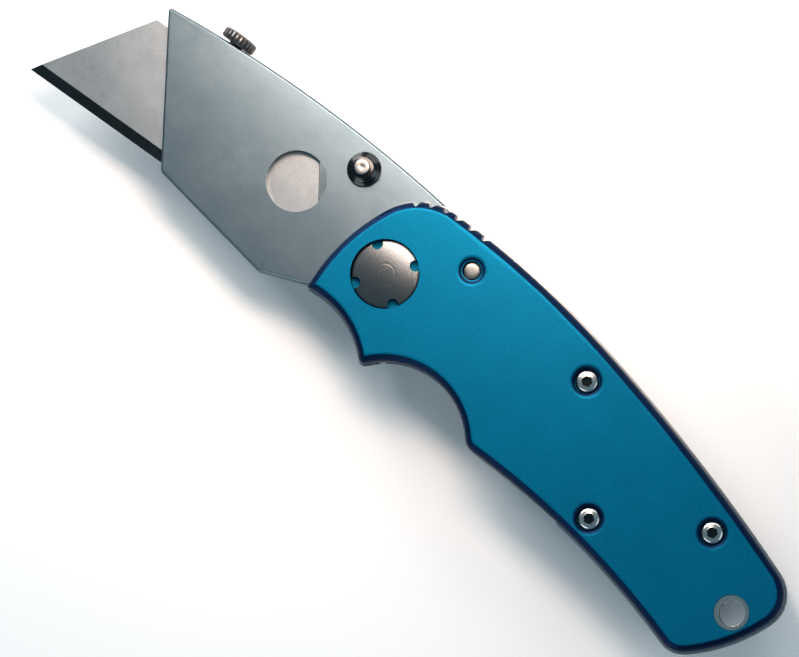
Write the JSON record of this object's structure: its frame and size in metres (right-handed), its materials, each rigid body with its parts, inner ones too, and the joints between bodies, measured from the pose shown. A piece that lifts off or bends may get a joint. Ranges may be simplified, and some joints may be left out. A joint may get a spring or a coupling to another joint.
{
  "type": "folding utility knife",
  "caption": "Folding utility knife with a trapezoid blade clamped in a steel carrier that turns out of a blue aluminium handle.",
  "frame": {"origin": "middle of the open knife's bounding box, on the surface that the clip side lies on", "axes": "+X from the blade's tip towards the butt, +Y towards the spine, +Z out of the front cover, along the pivot"},
  "size_m": [0.156, 0.0406, 0.0163],
  "materials": {
    "anodised_blue": "satin blue anodised",
    "liner_steel": "satin",
    "carrier_steel": "fine bead blasted",
    "blade_steel": "ground, with a dark edge",
    "turned_steel": "turned",
    "dark_nickel": "dark nickel plated",
    "polished_steel": "polished",
    "spring_steel": "satin",
    "bronze": "plain",
    "black_spacer": "matt black"
  },
  "bodies": {
    "handle": {"front_cover": "anodised_blue", "rear_cover": "anodised_blue", "lock_liner": "liner_steel", "rear_liner": "liner_steel", "back_spacer": "black_spacer", "spacer_pins": "polished_steel", "stop_pin": "polished_steel", "pivot_barrel": "turned_steel", "pivot_screw": "turned_steel", "front_washer": "bronze", "rear_washer": "bronze", "front_cover_screws": "polished_steel", "rear_cover_screws": "polished_steel", "lanyard_eyelets": "polished_steel", "belt_clip": "spring_steel", "clip_screws": "polished_steel"},
    "lock_leaf": {"lock_leaf": "liner_steel", "detent_ball": "polished_steel"},
    "carrier": {"carrier_front_plate": "carrier_steel", "carrier_core": "carrier_steel", "carrier_rear_plate": "carrier_steel", "front_thumb_stud": "dark_nickel", "rear_thumb_stud": "dark_nickel"},
    "blade": {"blade": "blade_steel"},
    "clamp_shank": {"clamp_screw": "dark_nickel"},
    "clamp_knob": {"knurled_knob": "dark_nickel"}
  },
  "joints": [
    {"name": "carrier_fold", "type": "hinge", "parent": "handle", "child": "carrier", "pos_m": [-0.00704, 0.00193, 0.0101], "axis": [0, 0, 1], "range_deg": [0, 171], "deforming": ["lock_leaf", "detent_ball"]},
    {"name": "lock_release", "type": "hinge", "parent": "handle", "child": "lock_leaf", "pos_m": [0.03996, 0.00193, 0.01285], "axis": [0, 1, 0], "range_deg": [0, 1.65], "stiffness_Nm_per_rad": 0.1, "springref_deg": -2.86},
    {"name": "blade_slide", "type": "slide", "parent": "carrier", "child": "blade", "axis": [-0.9999, -0.0122, 0], "range_m": [0, 0.036]},
    {"name": "clamp_feed", "type": "slide", "parent": "carrier", "child": "clamp_shank", "axis": [0, 1, 0], "range_m": [0, 0.0021]},
    {"name": "clamp_turn", "type": "hinge", "parent": "clamp_shank", "child": "clamp_knob", "pos_m": [-0.05164, 0.01933, 0.0101], "axis": [0, 1, 0], "range_deg": [0, 1081]}
  ],
  "couplings": [
    {"joint": "clamp_turn", "follows": "clamp_feed", "rad_per_m": 8976}
  ]
}
